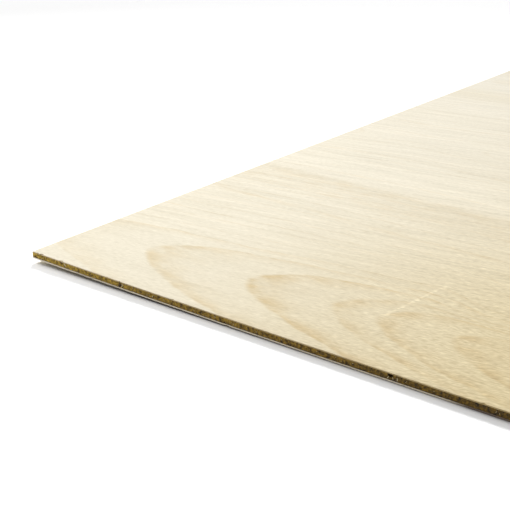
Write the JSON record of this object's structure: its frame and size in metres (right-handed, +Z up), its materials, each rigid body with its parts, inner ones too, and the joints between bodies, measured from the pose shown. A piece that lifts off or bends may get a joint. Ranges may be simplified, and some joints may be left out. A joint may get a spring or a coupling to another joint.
{
  "type": "plywood sheet",
  "caption": "Thin plywood sheet lying flat: pale rotary-cut face and back veneers over a thick, darker cross-band core, with square sawn edges.",
  "frame": {"origin": "on the floor under the middle of the sheet", "axes": "+X along the sheet's length and its face grain, away from the end that curls up; +Y across its width, away from the front edge; +Z up, out of the show face"},
  "size_m": [2.44, 1.22, 0.0054],
  "materials": {
    "face_wood": "raw, sanded",
    "core_wood": "raw, sawn",
    "back_wood": "raw, sanded"
  },
  "bodies": {
    "root": {"face_veneer": "face_wood", "core_veneer": "core_wood", "back_veneer": "back_wood"}
  },
  "joints": []
}
